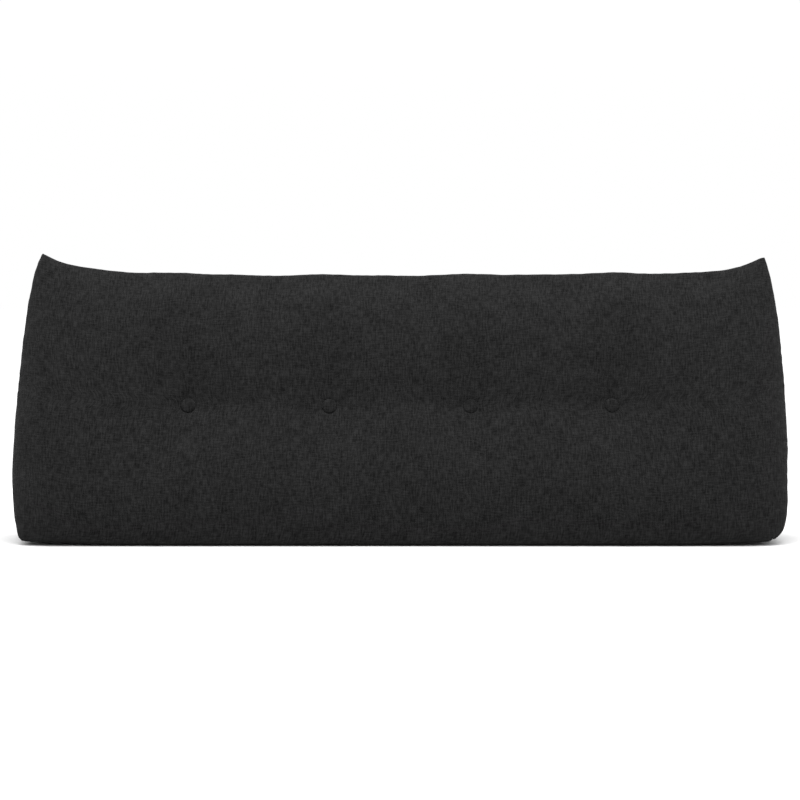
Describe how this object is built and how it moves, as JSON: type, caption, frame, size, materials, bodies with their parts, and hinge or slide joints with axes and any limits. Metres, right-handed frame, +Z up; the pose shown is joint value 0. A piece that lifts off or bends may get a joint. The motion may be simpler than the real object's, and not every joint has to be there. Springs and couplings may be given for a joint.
{
  "type": "wedge back cushion",
  "caption": "Wide wedge-shaped back cushion with a sloping button-tufted front, pointed top corners and a zipped linen-look cover over a foam core.",
  "frame": {"origin": "centre of the bounding box's base, on the surface that the cushion stands on", "axes": "+X along the width, to the right when the front is seen; +Y towards the back, so the sloping front faces -Y; +Z up"},
  "size_m": [1.4, 0.2001, 0.5241],
  "materials": {
    "cover_linen": "dark charcoal melange linen-look weave with fine slubs, matt",
    "batting_fibre": "white bonded polyester fibre, soft",
    "core_foam": "cream polyurethane foam with open cells, matt",
    "zip_tape_weave": "black woven polyester tape",
    "zip_nylon": "black nylon coil, half gloss",
    "zip_zinc": "zinc alloy with a dark plated finish, worn at the edges",
    "button_steel": "pressed tin-plated steel",
    "tufting_twine": "waxed twisted polyester twine",
    "anchor_plastic": "moulded nylon, off-white"
  },
  "bodies": {
    "cushion": {"front_panel": "cover_linen", "back_panel_upper": "cover_linen", "back_panel_lower": "cover_linen", "base_panel": "cover_linen", "side_panel_left": "cover_linen", "side_panel_right": "cover_linen", "fibre_batting": "batting_fibre", "foam_core": "core_foam", "zip_tape_upper": "zip_tape_weave", "zip_tape_lower": "zip_tape_weave", "zip_coil_upper": "zip_nylon", "zip_coil_lower": "zip_nylon", "zip_top_stop_upper": "zip_zinc", "zip_top_stop_lower": "zip_zinc", "zip_bottom_stop": "zip_zinc", "button_1_cover": "cover_linen", "button_1_shell": "button_steel", "button_1_back": "button_steel", "button_1_twine": "tufting_twine", "button_1_anchor": "anchor_plastic", "button_2_cover": "cover_linen", "button_2_shell": "button_steel", "button_2_back": "button_steel", "button_2_twine": "tufting_twine", "button_2_anchor": "anchor_plastic", "button_3_cover": "cover_linen", "button_3_shell": "button_steel", "button_3_back": "button_steel", "button_3_twine": "tufting_twine", "button_3_anchor": "anchor_plastic", "button_4_cover": "cover_linen", "button_4_shell": "button_steel", "button_4_back": "button_steel", "button_4_twine": "tufting_twine", "button_4_anchor": "anchor_plastic"},
    "slider": {"zip_slider": "zip_zinc"},
    "pull": {"zip_pull": "zip_zinc"}
  },
  "joints": [
    {"name": "zip_slide", "type": "slide", "parent": "cushion", "child": "slider", "axis": [-1, 0, 0], "range_m": [0, 1.09]},
    {"name": "pull_hinge", "type": "hinge", "parent": "slider", "child": "pull", "pos_m": [0.545, 0.09795, 0.08], "axis": [0, 0, -1], "range_deg": [0, 180]}
  ]
}
